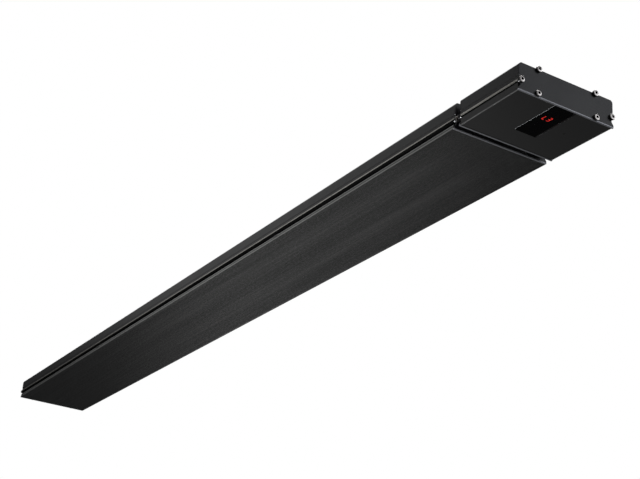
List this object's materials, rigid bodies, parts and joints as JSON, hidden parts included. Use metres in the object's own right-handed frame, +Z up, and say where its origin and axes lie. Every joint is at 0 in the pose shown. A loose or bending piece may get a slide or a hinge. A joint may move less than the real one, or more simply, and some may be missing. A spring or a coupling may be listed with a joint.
{
  "type": "radiant strip heater",
  "caption": "Long flat radiant strip heater with an end control module, red figure display and sliding, tilting ceiling hangers.",
  "frame": {"origin": "under the middle of the radiating face, on the plane of that face", "axes": "+X along the heater to the control module, +Y across it, +Z up to the ceiling side"},
  "size_m": [2.2284, 0.1936, 0.098],
  "materials": {
    "casing_coat": "satin black anodised extrusion",
    "panel_coat": "satin black anodised extrusion, finely ribbed",
    "cover_coat": "matte black fine powder coat",
    "plate_coat": "matte black fine powder coat",
    "dark_spring_steel": "blackened spring steel",
    "black_sheet": "matte black sheet steel",
    "bright_sheet": "bright rolled sheet",
    "insulation": "matte needled ceramic fibre",
    "rod_sheath": "heat-darkened steel sheath",
    "white_ceramic": "unglazed white ceramic",
    "brass": "plain machined brass",
    "bright_steel": "polished stainless steel",
    "black_steel": "blackened steel",
    "window_plastic": "glossy black tinted acrylic",
    "digit_plastic": "smooth black moulding",
    "lit_segments": "glowing red bars",
    "circuit_board": "green solder mask on glass-fibre board",
    "pillar_plastic": "natural nylon",
    "receiver_plastic": "dark epoxy",
    "light_plastic": "clear diffused epoxy",
    "relay_plastic": "smooth blue moulding",
    "transformer_iron": "laminated iron with a taped coil",
    "capacitor_sleeve": "shrink-sleeved can",
    "bare_aluminium": "plain extruded",
    "terminal_plastic": "ivory moulded",
    "gland_plastic": "black moulded nylon",
    "seal_rubber": "soft black",
    "nipple_coat": "matte black",
    "lead_sleeve": "braided glass-fibre sleeve",
    "hanger_coat": "matte black powder coat",
    "zinc_steel": "bright zinc plate"
  },
  "bodies": {
    "heater": {"heater_back_casing": "casing_coat", "radiating_panel": "panel_coat", "lip_clips": "dark_spring_steel", "side_baffles": "black_sheet", "reflector_sheet": "bright_sheet", "insulation_blanket": "insulation", "heating_rods": "rod_sheath", "rod_bushes": "white_ceramic", "rod_clips": "bright_sheet", "link_straps": "brass", "thermal_cutout": "white_ceramic", "ceramic_block": "white_ceramic", "heater_near_end_plate": "plate_coat", "heater_far_end_plate": "plate_coat", "heater_near_end_screws": "bright_steel", "heater_far_end_screws": "bright_steel", "module_back_casing": "casing_coat", "face_cover": "cover_coat", "display_window": "window_plastic", "digit_block": "digit_plastic", "digit_segments": "lit_segments", "display_board": "circuit_board", "board_pillars": "pillar_plastic", "board_screws": "bright_steel", "infrared_receiver": "receiver_plastic", "indicator_light": "light_plastic", "power_board": "circuit_board", "power_board_fixings": "bright_steel", "relays": "relay_plastic", "transformer": "transformer_iron", "capacitors": "capacitor_sleeve", "heat_sink": "bare_aluminium", "mains_terminal_block": "terminal_plastic", "earth_stud": "brass", "module_inner_end_plate": "plate_coat", "module_outer_end_plate": "plate_coat", "module_inner_end_screws": "bright_steel", "module_outer_end_screws": "bright_steel", "gland_body": "gland_plastic", "gland_seal": "seal_rubber", "gland_dome_nut": "gland_plastic", "gland_locknut": "gland_plastic", "gap_flush_screws": "black_steel", "joining_nipple": "nipple_coat", "nipple_locknuts": "nipple_coat", "spacer_sleeves": "nipple_coat", "joining_bolts": "bright_steel", "heater_leads": "lead_sleeve"},
    "far_slider": {"far_hanger_foot": "hanger_coat", "far_hanger_slide_nuts": "zinc_steel", "far_hanger_foot_bolts": "zinc_steel", "far_hanger_pivot_bolts": "zinc_steel"},
    "far_yoke": {"far_hanger_yoke": "hanger_coat", "far_hanger_lock_bolts": "zinc_steel"},
    "near_slider": {"near_hanger_foot": "hanger_coat", "near_hanger_slide_nuts": "zinc_steel", "near_hanger_foot_bolts": "zinc_steel", "near_hanger_pivot_bolts": "zinc_steel"},
    "near_yoke": {"near_hanger_yoke": "hanger_coat", "near_hanger_lock_bolts": "zinc_steel"}
  },
  "joints": [
    {"name": "far_hanger_slide", "type": "slide", "parent": "heater", "child": "far_slider", "axis": [1, 0, 0], "range_m": [-0.4, 0.56]},
    {"name": "far_hanger_tilt", "type": "hinge", "parent": "far_slider", "child": "far_yoke", "pos_m": [-0.679, 0, 0.072], "axis": [1, 0, 0], "range_deg": [-45, 45]},
    {"name": "near_hanger_slide", "type": "slide", "parent": "heater", "child": "near_slider", "axis": [1, 0, 0], "range_m": [-0.56, 0.4]},
    {"name": "near_hanger_tilt", "type": "hinge", "parent": "near_slider", "child": "near_yoke", "pos_m": [0.521, 0, 0.072], "axis": [1, 0, 0], "range_deg": [-45, 45]}
  ]
}
